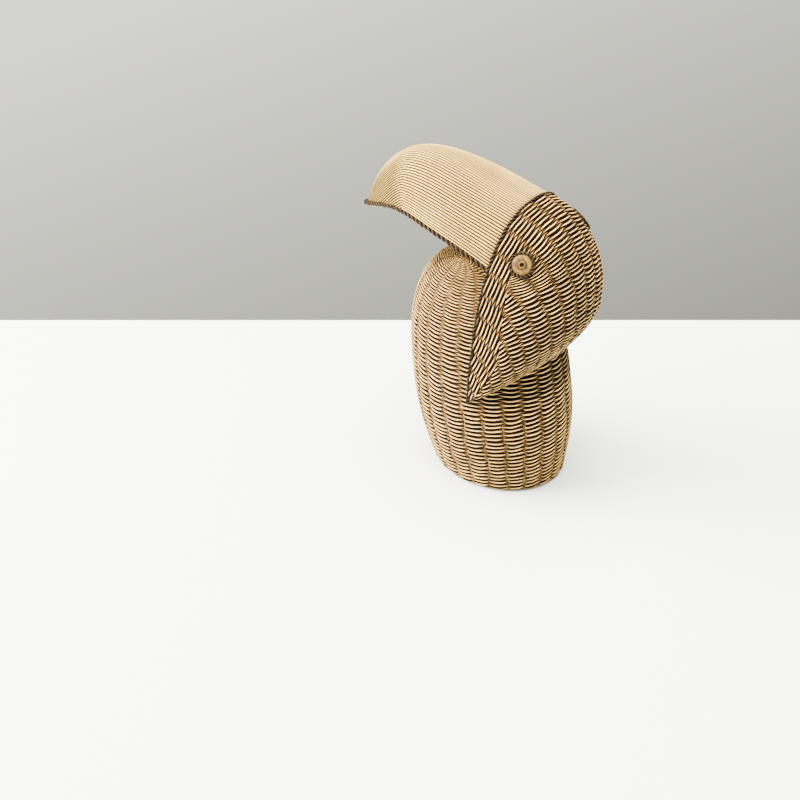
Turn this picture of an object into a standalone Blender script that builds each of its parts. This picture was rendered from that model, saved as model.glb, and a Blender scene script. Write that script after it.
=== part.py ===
# A toucan ornament, cast in one piece, with its surface worked like woven cane.
# The bird stands on the flat foot of its body at Z = 0, faces -Y and is even about X = 0.
# All sizes are in metres.
import math

import bmesh
import bpy
from mathutils import Vector

# Body: a leaning egg with a flat foot and a domed top
body_height = 0.139
body_width = 0.0838
body_depth = 0.0980
foot_width = 0.0690
belly_level = 0.0510
body_lean = 0.0170
dome_power = 2.7
foot_round = 0.0022

# Hood: the head and both cheeks, swept about an axis through the two cheek tips
cheek_proud = 0.0006
cheek_level = 0.0651
cheek_setback = 0.0041
brow_level = 0.1836
brow_setback = 0.0154
hood_front_swell = 0.00235
hood_middle_swell = 0.0039
hood_back_swell = 0.0033
hood_front_power = 2.57
hood_back_power = 2.09
crown_reach = 0.1189
back_reach = 0.1112
occiput_reach = 0.0967
nape_reach = 0.0796
nape_angle = math.radians(50.0)
nape_round = 1.57
crease_reach = 0.0385
crease_angle = math.radians(36.5)
crease_power = 1.6
recess_angle = math.radians(5.0)
recess_inset = 0.0070
recess_blend = 0.0150
recess_centre = 0.45

# Beak: a closed arched shell that springs from the brow and hooks down to its tip
gape_reach = 0.0915
beak_step = 0.0004
beak_tip_setback = -0.1010
beak_tip_level = 0.1436
ridge_start_drop = 0.0004
ridge_rise_setback = -0.0403
ridge_rise_level = 0.1923
ridge_bend_setback = -0.0705
ridge_bend_level = 0.2208
rim_rise = 0.0129
beak_taper = 1.8
beak_taper_end = 0.93
beak_arch_power = 1.91
beak_floor_drop = 0.0015
beak_root_depth = 0.0040
beak_root_drop = 0.0020
beak_root_shrink = 0.96
beak_fade_start = 0.08
beak_fade_end = 0.12

# Trims and eyes
rope_radius = 0.0013
rope_step = 0.0042
eye_turn = math.radians(74.9)
eye_share = 0.3325
eye_radius = 0.0062
eye_proud = 0.0014
eye_ring_radius = 0.0022
eye_pupil_radius = 0.0011
eye_rope_radius = 0.0010
eye_clear = 0.0105

# Carved weave: its depth, the stakes round the body and the spacing of the courses
weave_depth = 0.0006
weave_fade_radius = 0.02
stake_count = 24
body_course = 0.0039
hood_course = 0.0040
hood_stake_count = 22
under_rows = 6
reed_count = 20
reed_depth = 0.0004
beak_stations = 11
beak_blend = 0.35

part_name = "toucan"
cane_colour = (0.52, 0.37, 0.21, 1.0)


def make_material():
    # Matt cast resin in a cane colour
    material = bpy.data.materials.new("cane_resin")
    material.use_nodes = True
    shader = material.node_tree.nodes["Principled BSDF"]
    shader.inputs["Base Color"].default_value = cane_colour
    shader.inputs["Roughness"].default_value = 0.62
    shader.inputs["Metallic"].default_value = 0.0
    return material


def bernstein(values, share):
    # A smooth curve drawn by its control values
    order = len(values) - 1
    total = 0.0
    for index, value in enumerate(values):
        total += math.comb(order, index) * value * share**index * (1 - share) ** (order - index)
    return total


def signed_power(value, power):
    return math.copysign(abs(value) ** power, value)


def body_radius(level):
    # Half the body's width at a height
    widest = body_width / 2
    foot = foot_width / 2
    if level < belly_level:
        return foot + (widest - foot) * math.sin(math.pi / 2 * max(level, 0.0) / belly_level)
    share = min((level - belly_level) / (body_height - belly_level), 1.0)
    return widest * max(1 - share**dome_power, 0.0) ** (1 / dome_power)


def body_point(turn, level, proud=0.0):
    # A point on the body; turn runs round it from +X towards +Y
    radius = body_radius(level) + proud
    centre = -body_lean * level / body_height
    return Vector((radius * math.cos(turn), centre + radius * body_depth / body_width * math.sin(turn), level))


def even_levels(spacing):
    # Heights of the body's courses, evenly spaced along its outline
    fine = [body_height * math.sin(math.pi / 2 * step / 400) for step in range(401)]
    lengths = [0.0]
    for low, high in zip(fine, fine[1:]):
        lengths.append(lengths[-1] + math.hypot(high - low, body_radius(high) - body_radius(low)))
    rows = max(round(lengths[-1] / spacing), 8)
    levels = []
    for row in range(rows):
        wanted = lengths[-1] * row / rows
        index = next(i for i, length in enumerate(lengths[1:]) if length >= wanted)
        share = (wanted - lengths[index]) / (lengths[index + 1] - lengths[index])
        levels.append(fine[index] + share * (fine[index + 1] - fine[index]))
    return levels


def brow_angle():
    return math.atan2(brow_level - cheek_level, brow_setback - cheek_setback)


def lean(angle, across, out):
    # A point of an arch that is leaned back by an angle about the line through the cheek tips
    return Vector((across, cheek_setback + out * math.cos(angle), cheek_level + out * math.sin(angle)))


def flat_arch(angle, share):
    # Where a point of the hood's arch lies in the arch's own plane: across and outwards.
    # share runs from the left cheek tip (0) over the crown (0.5) to the right one (1).
    sweep = (brow_angle() - angle) / (brow_angle() - nape_angle)
    brow_reach = math.hypot(brow_level - cheek_level, brow_setback - cheek_setback)
    reach = bernstein([brow_reach, crown_reach, back_reach, occiput_reach, nape_reach], sweep)
    cheek = body_width / 2 + cheek_proud
    half = cheek + bernstein([hood_front_swell, hood_middle_swell, hood_back_swell], sweep)
    power = hood_front_power + (hood_back_power - hood_front_power) * sweep
    below = (1 - (cheek / half) ** power) ** (1 / power)
    centre = below * reach / (1 + below)
    start = math.asin(below ** (power / 2))
    turn = -start + (math.pi + 2 * start) * share
    across = half * signed_power(math.cos(turn), 2 / power)
    return across, centre + (reach - centre) * signed_power(math.sin(turn), 2 / power)


def arch_point(angle, share):
    # A point on the hood between the brow and the nape
    across, out = flat_arch(angle, share)
    return lean(angle, across, out)


def under_point(turn, share):
    # A point on the head's rounded underside, from the nape (turn 0) in to the crease on the
    # body (turn a quarter circle)
    across, out = flat_arch(nape_angle, share)
    cheek = body_width / 2 + cheek_proud
    crease_across = cheek * signed_power(math.cos(math.pi * share), 2 / crease_power)
    crease_out = crease_reach * max(math.sin(math.pi * share), 0.0) ** (2 / crease_power)
    outer = max(math.cos(turn), 0.0) ** nape_round
    angle = nape_angle - (nape_angle - crease_angle) * math.sin(turn) ** nape_round
    return lean(angle, crease_across + (across - crease_across) * outer, crease_out + (out - crease_out) * outer)


def gape_point():
    # Where the beak's rim leaves the brow, on the left side
    low, high = 0.0, 0.5
    for _ in range(40):
        middle = (low + high) / 2
        point = arch_point(brow_angle(), middle)
        if math.hypot(point.y - cheek_setback, point.z - cheek_level) < gape_reach:
            low = middle
        else:
            high = middle
    return arch_point(brow_angle(), low), low


def ridge_point(share):
    # The beak's top line in the middle plane
    across = bernstein([brow_setback, ridge_rise_setback, ridge_bend_setback, beak_tip_setback], share)
    start = brow_level - ridge_start_drop
    up = bernstein([start, ridge_rise_level, ridge_bend_level, beak_tip_level], share)
    return Vector((0.0, across, up))


def rim_point(share):
    # The beak's lower edge on the left side
    start, _ = gape_point()
    half = (start.x - beak_step) * max(1 - share**beak_taper, 0.0) ** beak_taper_end
    along = start.y + (beak_tip_setback - start.y) * share
    level = start.z + (beak_tip_level - start.z) * share + rim_rise * 4 * share * (1 - share)
    return Vector((half, along, level))


def smooth(share):
    share = min(max(share, 0.0), 1.0)
    return share * share * (3 - 2 * share)


def beak_arch(turn_share, share):
    # Width and height of the beak's arch, each from 0 to 1: at the root it has the shape
    # of the brow above the gape, and further out a plain arch
    turn = math.pi * turn_share
    across = signed_power(math.cos(turn), 2 / beak_arch_power)
    up = math.sin(turn) ** (2 / beak_arch_power)
    corner, gape = gape_point()
    brow = arch_point(brow_angle(), gape + (1 - 2 * gape) * turn_share)
    crown = arch_point(brow_angle(), 0.5)
    blend = smooth(share / beak_blend)
    across = blend * across + (1 - blend) * brow.x / corner.x
    up = blend * up + (1 - blend) * (brow.z - corner.z) / (crown.z - corner.z)
    return across, up


def beak_section(share):
    # One section of the beak: the reeded arch from rim to rim, then the closed underside
    rim, ridge = rim_point(share), ridge_point(share)
    section = []
    steps = 2 * reed_count
    fade = min(share / beak_fade_start, 1.0) * min((1 - share) / beak_fade_end, 1.0)
    for step in range(steps + 1):
        across, up = beak_arch(step / steps, share)
        edge = 0.0 if step in (0, steps) else 1.0
        ribs = 1 + edge * fade * reed_depth * (1 if step % 2 else -1) / max(rim.x, 0.004)
        middle = Vector((0.0, rim.y, rim.z))
        point = Vector((rim.x * across, rim.y + (ridge.y - rim.y) * up, rim.z + (ridge.z - rim.z) * up))
        section.append(middle + (point - middle) * ribs)
    drop = Vector((0.0, 0.0, -beak_floor_drop * math.sin(math.pi * share)))
    section.append(Vector((-rim.x * 0.4, rim.y, rim.z)) + drop)
    section.append(Vector((rim.x * 0.4, rim.y, rim.z)) + drop)
    return section


def loft(name, sections):
    # A closed solid through sections with the same number of points
    mesh = bmesh.new()
    loops = [[mesh.verts.new(point) for point in section] for section in sections]
    count = len(loops[0])
    for low, high in zip(loops, loops[1:]):
        for index in range(count):
            after = (index + 1) % count
            mesh.faces.new((low[index], low[after], high[after], high[index]))
    mesh.faces.new(list(reversed(loops[0])))
    mesh.faces.new(loops[-1])
    return finish_mesh(name, mesh)


def finish_mesh(name, mesh):
    # Welds the mesh, turns its faces outwards, splits them into flat ones and makes an
    # object of it
    bmesh.ops.remove_doubles(mesh, verts=mesh.verts, dist=0.00002)
    bmesh.ops.recalc_face_normals(mesh, faces=mesh.faces)
    bmesh.ops.triangulate(mesh, faces=mesh.faces)
    data = bpy.data.meshes.new(name)
    mesh.to_mesh(data)
    mesh.free()
    data.shade_smooth()
    data.set_sharp_from_angle(angle=math.radians(40))
    return bpy.data.objects.new(name, data)


def make_body():
    # The egg, with a bump where a strand passes over a stake and a hollow where it dips
    turns = 2 * stake_count
    sections = []
    foot = [body_point(math.tau * i / turns, 0.0, -foot_round) for i in range(turns)]
    sections.append([Vector((point.x, point.y, 0.0)) for point in foot])
    levels = even_levels(body_course)
    for row, level in enumerate(levels[1:], start=1):
        fade = min(body_radius(level) / weave_fade_radius, 1.0) * min(row / 2, 1.0)
        section = []
        for step in range(turns):
            over = (step // 2 + row) % 2 == 0
            bump = -0.5 if step % 2 else (1.0 if over else -0.2)
            section.append(body_point(math.tau * step / turns, level, bump * fade * weave_depth))
        sections.append(section)
    return loft("body_form", sections)


def hood_normal(angle, share):
    # The hood's outward direction
    small = 0.004
    low, high = max(share - small, 0.0), min(share + small, 1.0)
    along = arch_point(angle, high) - arch_point(angle, low)
    back = arch_point(angle - small, share) - arch_point(angle + small, share)
    return back.cross(along).normalized()


def hood_rows():
    # The hood's outer surface, row by row from the brow over the nape to the crease, with the
    # same bumps as the body's
    span = brow_angle() - nape_angle
    rows = 2 * round(span * back_reach / hood_course / 2)
    columns = 2 * hood_stake_count
    shares = [column / columns for column in range(columns + 1)]
    plain = [[arch_point(brow_angle() - span * row / rows, share) for share in shares] for row in range(rows + 1)]
    for step in range(1, under_rows + 1):
        plain.append([under_point(math.pi / 2 * step / under_rows, share) for share in shares])
    eye = arch_point(eye_turn, eye_share)
    surface = [plain[0]]
    for row in range(1, len(plain) - 1):
        line = list(plain[row])
        for column in range(3, columns - 2):
            point = line[column]
            clear = (Vector((abs(point.x), point.y, point.z)) - eye).length > eye_clear
            if clear and row < rows + under_rows // 2:
                over = (column // 2 + row) % 2 == 0
                bump = -0.5 if column % 2 else (1.0 if over else -0.2)
                back = plain[row + 1][column] - plain[row - 1][column]
                along = plain[row][column + 1] - plain[row][column - 1]
                line[column] = point + back.cross(along).normalized() * bump * weave_depth
        surface.append(line)
    return surface + [plain[-1]]


def recess_outline():
    # The brow's arch drawn inwards and, below the beak, leaned back: the floor of the
    # hollow between the body and the cheeks
    middle = arch_point(brow_angle(), 0.5)
    centre_reach = (middle - Vector((0.0, cheek_setback, cheek_level))).length * recess_centre
    columns = 2 * hood_stake_count
    points = []
    for column in range(columns + 1):
        point = arch_point(brow_angle(), column / columns)
        reach = math.hypot(point.y - cheek_setback, point.z - cheek_level)
        offset = Vector((point.x, reach - centre_reach))
        offset = offset * (1 - recess_inset / max(offset.length, recess_inset * 2))
        reach = max(offset.y + centre_reach, recess_inset)
        angle = brow_angle() - recess_angle * smooth((gape_reach - reach) / recess_blend)
        points.append(
            Vector((offset.x, cheek_setback + reach * math.cos(angle), cheek_level + reach * math.sin(angle)))
        )
    return points


def make_hood():
    # Outer weave, a sloping return behind the brow and cheeks, and the flat inside the crease
    mesh = bmesh.new()
    surface = hood_rows()
    columns = len(surface[0]) - 1
    left = mesh.verts.new(surface[0][0])
    right = mesh.verts.new(surface[0][-1])
    grid = []
    for line in surface:
        grid.append([left] + [mesh.verts.new(point) for point in line[1:-1]] + [right])
    for low, high in zip(grid, grid[1:]):
        for column in range(columns):
            corners = (low[column], low[column + 1], high[column + 1], high[column])
            kept = [v for index, v in enumerate(corners) if v not in corners[:index]]
            mesh.faces.new(kept)
    inner = [mesh.verts.new(point) for point in recess_outline()]
    for column in range(columns):
        mesh.faces.new((grid[0][column], inner[column], inner[column + 1], grid[0][column + 1]))
    mesh.faces.new((grid[0][0], grid[0][-1], inner[-1], inner[0]))
    for column in range(columns // 2):
        across = (inner[column], inner[column + 1], inner[columns - column - 1], inner[columns - column])
        mesh.faces.new([v for index, v in enumerate(across) if v not in across[:index]])
    mesh.faces.new(grid[-1])
    return finish_mesh("hood_form", mesh)


def make_beak():
    # The beak starts a little inside the hood, so that the two are one
    inward = Vector((beak_root_shrink, 1.0, 1.0))
    depth = Vector((0.0, beak_root_depth, -beak_root_drop))
    root = [point * inward + depth for point in beak_section(0.0)]
    sections = [root]
    for station in range(beak_stations + 1):
        share = 1 - (1 - station / beak_stations) ** 1.25
        sections.append(beak_section(min(share, 0.995)))
    return loft("beak_form", sections)


def twisted_rope(name, path, radius, guide):
    # A square bar twisted an eighth of a turn at each step along its path, which stays
    # roughly square to guide
    sections = []
    for index, point in enumerate(path):
        along = (path[min(index + 1, len(path) - 1)] - path[max(index - 1, 0)]).normalized()
        side = along.cross(guide).normalized()
        up = along.cross(side)
        first = math.pi / 4 * index
        section = []
        for corner in range(4):
            turn = first + math.pi / 2 * corner
            section.append(point + radius * (math.cos(turn) * side + math.sin(turn) * up))
        sections.append(section)
    return loft(name, sections)


def even_path(curve, length_step, fine=200):
    # Points spaced evenly along a curve given for shares from 0 to 1
    points = [curve(step / fine) for step in range(fine + 1)]
    lengths = [0.0]
    for low, high in zip(points, points[1:]):
        lengths.append(lengths[-1] + (high - low).length)
    steps = max(round(lengths[-1] / length_step), 4)
    path = [points[0]]
    index = 0
    for step in range(1, steps):
        wanted = lengths[-1] * step / steps
        while lengths[index + 1] < wanted:
            index += 1
        share = (wanted - lengths[index]) / (lengths[index + 1] - lengths[index])
        path.append(points[index].lerp(points[index + 1], share))
    path.append(points[-1])
    return path


def brow_curve(share):
    # The edge of the hood from cheek tip to cheek tip
    return arch_point(brow_angle(), share)


def rim_curve(share):
    # The beak's lower edge from the left corner round the tip to the right corner
    if share < 0.5:
        return rim_point(min(2 * share, 0.992))
    point = rim_point(min(2 * (1 - share), 0.992))
    return Vector((-point.x, point.y, point.z))


def make_brow_rope():
    # The brow lies in one plane, and its normal guides the rope
    guide = Vector((0.0, math.sin(brow_angle()), -math.cos(brow_angle())))
    return twisted_rope("brow_rope_form", even_path(brow_curve, rope_step), rope_radius, guide)


def make_rim_rope():
    guide = Vector((0.0, 0.0, 1.0))
    return twisted_rope("rim_rope_form", even_path(rim_curve, rope_step), rope_radius, guide)


def place_turned(name, profile, point, normal, turns=16):
    # A turned shape on the line of normal through point; profile gives radius and height
    side = normal.cross(Vector((0.0, 0.0, 1.0))).normalized()
    up = side.cross(normal)
    sections = []
    for radius, height in profile:
        section = []
        for step in range(turns):
            turn = math.tau * step / turns
            offset = radius * (math.cos(turn) * side + math.sin(turn) * up)
            section.append(point + offset + height * normal)
        sections.append(section)
    return loft(name, sections)


def make_eye(name, share):
    # A rope ring, a smooth disc inside it and a small raised ring round the pupil
    point = arch_point(eye_turn, share)
    normal = hood_normal(eye_turn, share)
    rope = 2 * eye_rope_radius
    profile = [
        (eye_radius + rope, -eye_radius / 2),
        (eye_radius + rope, eye_rope_radius * 0.6),
        (eye_radius + eye_rope_radius, rope * 0.9),
        (eye_radius, eye_proud * 0.6),
        (eye_radius * 0.88, eye_proud),
        (eye_ring_radius * 1.25, eye_proud * 1.1),
        (eye_ring_radius, eye_proud * 1.45),
        (eye_pupil_radius * 1.2, eye_proud * 1.45),
        (eye_pupil_radius * 0.5, eye_proud * 0.9),
    ]
    return place_turned(name, profile, point, normal)


def join_all(first, others):
    # Boolean unions make the forms one closed body
    for other in others:
        union = first.modifiers.new(other.name, "BOOLEAN")
        union.operation = "UNION"
        union.solver = "EXACT"
        union.object = other


def build():
    for item in list(bpy.data.objects):
        bpy.data.objects.remove(item, do_unlink=True)
    parts = bpy.data.collections.new("toucan_ornament")
    forms = bpy.data.collections.new("toucan_forms")
    bpy.context.scene.collection.children.link(parts)
    bpy.context.scene.collection.children.link(forms)
    toucan = make_body()
    toucan.name = part_name
    toucan.data.materials.append(make_material())
    parts.objects.link(toucan)
    others = [
        make_hood(),
        make_beak(),
        make_brow_rope(),
        make_rim_rope(),
        make_eye("left_eye_form", eye_share),
        make_eye("right_eye_form", 1 - eye_share),
    ]
    for other in others:
        forms.objects.link(other)
        other.hide_render = True
        other.display_type = "WIRE"
    join_all(toucan, others)


build()
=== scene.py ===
import math

import bmesh
import bpy
import numpy as np
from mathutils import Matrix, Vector


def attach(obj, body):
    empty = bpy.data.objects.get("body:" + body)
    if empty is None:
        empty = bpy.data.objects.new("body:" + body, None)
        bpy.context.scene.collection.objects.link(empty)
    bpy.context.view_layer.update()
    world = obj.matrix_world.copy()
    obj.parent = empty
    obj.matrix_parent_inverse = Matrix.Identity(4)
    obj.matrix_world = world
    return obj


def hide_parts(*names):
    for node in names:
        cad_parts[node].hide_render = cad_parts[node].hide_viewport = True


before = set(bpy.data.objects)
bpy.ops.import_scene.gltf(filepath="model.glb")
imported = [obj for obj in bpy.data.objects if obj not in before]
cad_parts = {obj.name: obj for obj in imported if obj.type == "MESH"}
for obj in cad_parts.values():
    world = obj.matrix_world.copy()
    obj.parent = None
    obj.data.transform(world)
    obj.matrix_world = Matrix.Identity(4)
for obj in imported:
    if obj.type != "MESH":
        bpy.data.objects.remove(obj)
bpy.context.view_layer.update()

# The bird's form in metres, the same as the solid's apart from the rim's bend and the tip's pull
bodyForm = {
    "height": 0.139, "width": 0.0838, "depth": 0.0980, "footWidth": 0.0690, "bellyLevel": 0.0510,
    "lean": 0.0170, "domePower": 2.7, "footRound": 0.0022,
}
hoodForm = {
    "cheekProud": 0.0006, "cheekLevel": 0.0651, "cheekSetback": 0.0041, "browLevel": 0.1836,
    "browSetback": 0.0154, "frontSwell": 0.00235, "middleSwell": 0.0039, "backSwell": 0.0033,
    "frontPower": 2.57, "backPower": 2.09, "crownReach": 0.1189, "backReach": 0.1112,
    "occiputReach": 0.0967, "napeReach": 0.0796, "napeAngle": math.radians(50.0), "napeRound": 1.57,
    "creaseReach": 0.0385, "creaseAngle": math.radians(36.5), "creasePower": 1.6,
    "recessAngle": math.radians(5.0), "recessInset": 0.0070, "recessBlend": 0.0150,
    "recessCentre": 0.45,
}
beakForm = {
    "gapeReach": 0.0915, "step": 0.0004, "tipSetback": -0.1010, "tipLevel": 0.1436, "startDrop": 0.0004,
    "riseSetback": -0.0403, "riseLevel": 0.1923, "bendSetback": -0.0705, "bendLevel": 0.2208,
    "rimRise": 0.0129, "taper": 1.8, "taperEnd": 0.93, "archPower": 1.91, "floorDrop": 0.0015,
    "blend": 0.35, "rimBend": 0.0030, "rimBendAt": 0.65, "rimBendWide": 0.22, "tipPull": 0.0020,
    "tipPullFrom": 0.85,
}

weldGap = 0.000004  # points closer than this are one
ropeGap = 0.0012  # how far the trims reach over what lies beside them


def signedPower(value, power):
    return np.sign(value) * np.abs(value) ** power


def bernstein(values, share):
    order = len(values) - 1
    return sum(math.comb(order, step) * value * share**step * (1 - share) ** (order - step)
               for step, value in enumerate(values))


def smoothStep(value):
    value = np.clip(value, 0.0, 1.0)
    return value * value * (3 - 2 * value)


def fadeOut(distance, reach):
    return np.exp(-np.maximum(distance, 0) / reach)


def softNoise(across, along, seed):
    # Slow wandering between about -1 and 1, from a few turned waves
    total = 0.0
    for step in range(5):
        turn = 1.7 * step + seed
        pull = 1.0 + 0.63 * step
        line = across * math.cos(turn) + along * math.sin(turn)
        total = total + np.sin(pull * line + 2.1 * seed + step) / 5
    return total * 1.6


def bodyRadius(level):
    widest, foot = bodyForm["width"] / 2, bodyForm["footWidth"] / 2
    belly, power = bodyForm["bellyLevel"], bodyForm["domePower"]
    low = foot + (widest - foot) * np.sin(math.pi / 2 * np.clip(level / belly, 0, 1))
    share = np.clip((level - belly) / (bodyForm["height"] - belly), 0, 1)
    high = widest * np.maximum(1 - share**power, 0) ** (1 / power)
    return np.where(level < belly, low, high)


# The line through both cheek tips, and the brow's direction from it
cheekBack, cheekUp = hoodForm["cheekSetback"], hoodForm["cheekLevel"]
browRun, browRise = hoodForm["browSetback"] - cheekBack, hoodForm["browLevel"] - cheekUp
browAngle = math.atan2(browRise, browRun)
browReach = math.hypot(browRise, browRun)
cheekHalf = bodyForm["width"] / 2 + hoodForm["cheekProud"]


def leanBack(angle, across, out):
    return np.stack([across + 0 * out, cheekBack + out * np.cos(angle),
                     cheekUp + out * np.sin(angle)], axis=-1)


def flatArch(angle, share):
    # A point of one of the head's arches, in the arch's own plane: across and outwards
    sweep = (browAngle - angle) / (browAngle - hoodForm["napeAngle"])
    reaches = [hoodForm[key] for key in ("crownReach", "backReach", "occiputReach", "napeReach")]
    reach = bernstein([browReach, *reaches], sweep)
    swells = [hoodForm[key] for key in ("frontSwell", "middleSwell", "backSwell")]
    half = cheekHalf + bernstein(swells, sweep)
    power = hoodForm["frontPower"] + (hoodForm["backPower"] - hoodForm["frontPower"]) * sweep
    below = (1 - (cheekHalf / half) ** power) ** (1 / power)
    centre = below * reach / (1 + below)
    start = math.asin(below ** (power / 2))
    turn = -start + (math.pi + 2 * start) * share
    across = half * signedPower(np.cos(turn), 2 / power)
    return across, centre + (reach - centre) * signedPower(np.sin(turn), 2 / power)


def archPoints(angle, share):
    # One arch of the head, leaned back about the line through both cheek tips
    return leanBack(angle, *flatArch(angle, share))


def underPoints(turn, share):
    # The rounded underside of the head, from the nape (0) in to the crease on the body
    across, out = flatArch(hoodForm["napeAngle"], share)
    power = 2 / hoodForm["creasePower"]
    creaseAcross = cheekHalf * signedPower(np.cos(math.pi * share), power)
    creaseOut = hoodForm["creaseReach"] * np.maximum(np.sin(math.pi * share), 0) ** power
    outer = max(math.cos(turn), 0.0) ** hoodForm["napeRound"]
    fall = math.sin(turn) ** hoodForm["napeRound"]
    angle = hoodForm["napeAngle"] - (hoodForm["napeAngle"] - hoodForm["creaseAngle"]) * fall
    across = creaseAcross + (across - creaseAcross) * outer
    return leanBack(angle, across, creaseOut + (out - creaseOut) * outer)


def gapeShare():
    # Where the beak's rim leaves the brow's arch
    share = np.linspace(0, 0.5, 4001)
    points = archPoints(browAngle, share)
    reach = np.hypot(points[:, 1] - cheekBack, points[:, 2] - cheekUp)
    return share[np.argmax(reach >= beakForm["gapeReach"])]


gape = gapeShare()
gapeCorner = archPoints(browAngle, np.array([gape]))[0]
browTop = archPoints(browAngle, np.array([0.5]))[0]


def tipBack(share):
    # How far the beak's last part is drawn back
    late = (share - beakForm["tipPullFrom"]) / (1 - beakForm["tipPullFrom"])
    return beakForm["tipPull"] * max(late, 0) ** 2


def ridgePoint(share):
    along = bernstein([hoodForm["browSetback"], beakForm["riseSetback"], beakForm["bendSetback"],
                       beakForm["tipSetback"]], share)
    up = bernstein([hoodForm["browLevel"] - beakForm["startDrop"], beakForm["riseLevel"],
                    beakForm["bendLevel"], beakForm["tipLevel"]], share)
    return np.array([0.0, along + tipBack(share), up])


def rimPoint(share):
    narrowing = max(1 - share ** beakForm["taper"], 0.0) ** beakForm["taperEnd"]
    half = (gapeCorner[0] - beakForm["step"]) * narrowing
    along = gapeCorner[1] + (beakForm["tipSetback"] - gapeCorner[1]) * share
    up = gapeCorner[2] + (beakForm["tipLevel"] - gapeCorner[2]) * share
    up = up + beakForm["rimRise"] * 4 * share * (1 - share)
    # The rim bends at the crease
    bend = (share - beakForm["rimBendAt"]) / beakForm["rimBendWide"]
    return np.array([half, along + tipBack(share), up + beakForm["rimBend"] * math.exp(-(bend**2))])


def beakArch(share, turnShare):
    # One arch of the beak; at the root it has the shape of the brow
    turn = math.pi * turnShare
    across = signedPower(np.cos(turn), 2 / beakForm["archPower"])
    up = np.abs(np.sin(turn)) ** (2 / beakForm["archPower"])
    brow = archPoints(browAngle, gape + (1 - 2 * gape) * turnShare)
    blend = smoothStep(share / beakForm["blend"])
    across = blend * across + (1 - blend) * brow[:, 0] / gapeCorner[0]
    up = blend * up + (1 - blend) * (brow[:, 2] - gapeCorner[2]) / (browTop[2] - gapeCorner[2])
    rim = rimPoint(share)
    rise = ridgePoint(share) - rim
    return np.stack([rim[0] * across, rim[1] + rise[1] * up, rim[2] + rise[2] * up], axis=-1)


def evenAlong(points, count):
    # The same line with its points evenly spaced, and its length
    lengths = np.concatenate([[0.0], np.cumsum(np.linalg.norm(np.diff(points, axis=0), axis=1))])
    wanted = np.linspace(0, lengths[-1], count)
    return np.stack([np.interp(wanted, lengths, points[:, k]) for k in range(3)], axis=-1), lengths[-1]


def outward(points, wrap):
    # Unit normals of a grid of points
    if wrap:
        ringed = np.concatenate([points[:, -2:-1], points, points[:, 1:2]], axis=1)
        across = (ringed[:, 2:] - ringed[:, :-2]) / 2
    else:
        across = np.gradient(points, axis=1)
    along = np.gradient(points, axis=0)
    normal = np.cross(across, along)
    return normal / np.maximum(np.linalg.norm(normal, axis=2, keepdims=True), 1e-12)


def unsettle(courses, stakes, look, sag, slant=0.0):
    # Hand-laid strands: they sag or slant between the stakes and cross them unevenly
    stakes = stakes + look["uneven"] * softNoise(2.3 * courses, 0.9 * stakes, 6)
    across = stakes - np.floor(stakes + 0.5)
    courses = courses - sag * (2 * across) ** 2 + slant * across
    return courses + look["wander"] * softNoise(2.1 * stakes, 0.8 * courses, 3), stakes


def weave(courses, stakes, look):
    # Height of two sets of strands that pass over and under the stakes by turns
    raised = np.clip(0.5 + caneLook["crossing"] * np.cos(math.pi * stakes), 0, 1)
    height = look["floor"] + 0 * courses
    for family, lift in ((0.0, raised), (0.5, 1 - raised)):
        off = courses + family - np.floor(courses + family + 0.5)
        # Each strand thins out to both ends, where it slips behind its stake
        width = look["strandWidth"] * (caneLook["endWidth"] + caneLook["swell"] * lift)
        crown = np.sqrt(np.maximum(1 - (off / width) ** 2, 0))
        bulge = smoothStep(lift) * (0.8 + 0.2 * np.abs(np.cos(math.pi * stakes)))
        top = look["under"] + (look["over"] - look["under"]) * bulge + look["thick"] * crown
        height = np.where(crown > 0, np.maximum(height, top), height)
    return height


def gridPiece(name, points, layers, maps, closeTo, wrapBy=None):
    # A bmesh grid bent to the given points, welded where it meets itself and closed
    rows, columns = points.shape[:2]
    mesh = bmesh.new()
    uvLayers = [(mesh.loops.layers.uv.new(key), values) for key, values in maps.items()]
    bmesh.ops.create_grid(mesh, x_segments=columns - 1, y_segments=rows - 1, size=0.5)
    floats = {key: mesh.verts.layers.float.new(key) for key in layers}
    place = {}
    for vert in mesh.verts:
        column = round((vert.co.x + 0.5) * (columns - 1))
        row = round((vert.co.y + 0.5) * (rows - 1))
        place[vert] = (row, column)
        vert.co = points[row, column]
        for key, layer in floats.items():
            vert[layer] = layers[key][row, column]
    for uvLayer, (across, along) in uvLayers:
        for face in mesh.faces:
            first = across[place[face.loops[0].vert]]
            for loop in face.loops:
                spot = place[loop.vert]
                turns = round((first - across[spot]) / wrapBy) * wrapBy if wrapBy else 0
                loop[uvLayer].uv = (across[spot] + turns, along[spot])
    bmesh.ops.remove_doubles(mesh, verts=mesh.verts, dist=weldGap)
    for target, chosen in closeTo:
        edges = [edge for edge in mesh.edges if edge.is_boundary and chosen(edge)]
        made = bmesh.ops.extrude_edge_only(mesh, edges=edges)["geom"]
        ends = [item for item in made if isinstance(item, bmesh.types.BMVert)]
        bmesh.ops.pointmerge(mesh, verts=ends, merge_co=Vector(target))
    return finishPiece(name, mesh)


def addObject(name, data):
    made = bpy.data.objects.new(name, data)
    bpy.context.scene.collection.objects.link(made)
    return made


def finishPiece(name, mesh):
    # A smooth-shaded object of the mesh, at the origin
    bmesh.ops.recalc_face_normals(mesh, faces=mesh.faces)
    for face in mesh.faces:
        face.smooth = True
    data = bpy.data.meshes.new(name)
    opened = sum(1 for edge in mesh.edges if not edge.is_manifold)
    mesh.to_mesh(data)
    mesh.free()
    data.calc_loop_triangles()
    print(name, len(data.loop_triangles), "triangles,", opened, "open edges")
    return addObject(name, data)


def finishWith(piece, material):
    piece.data.materials.append(material)
    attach(piece, "root")
    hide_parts("toucan")


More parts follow.
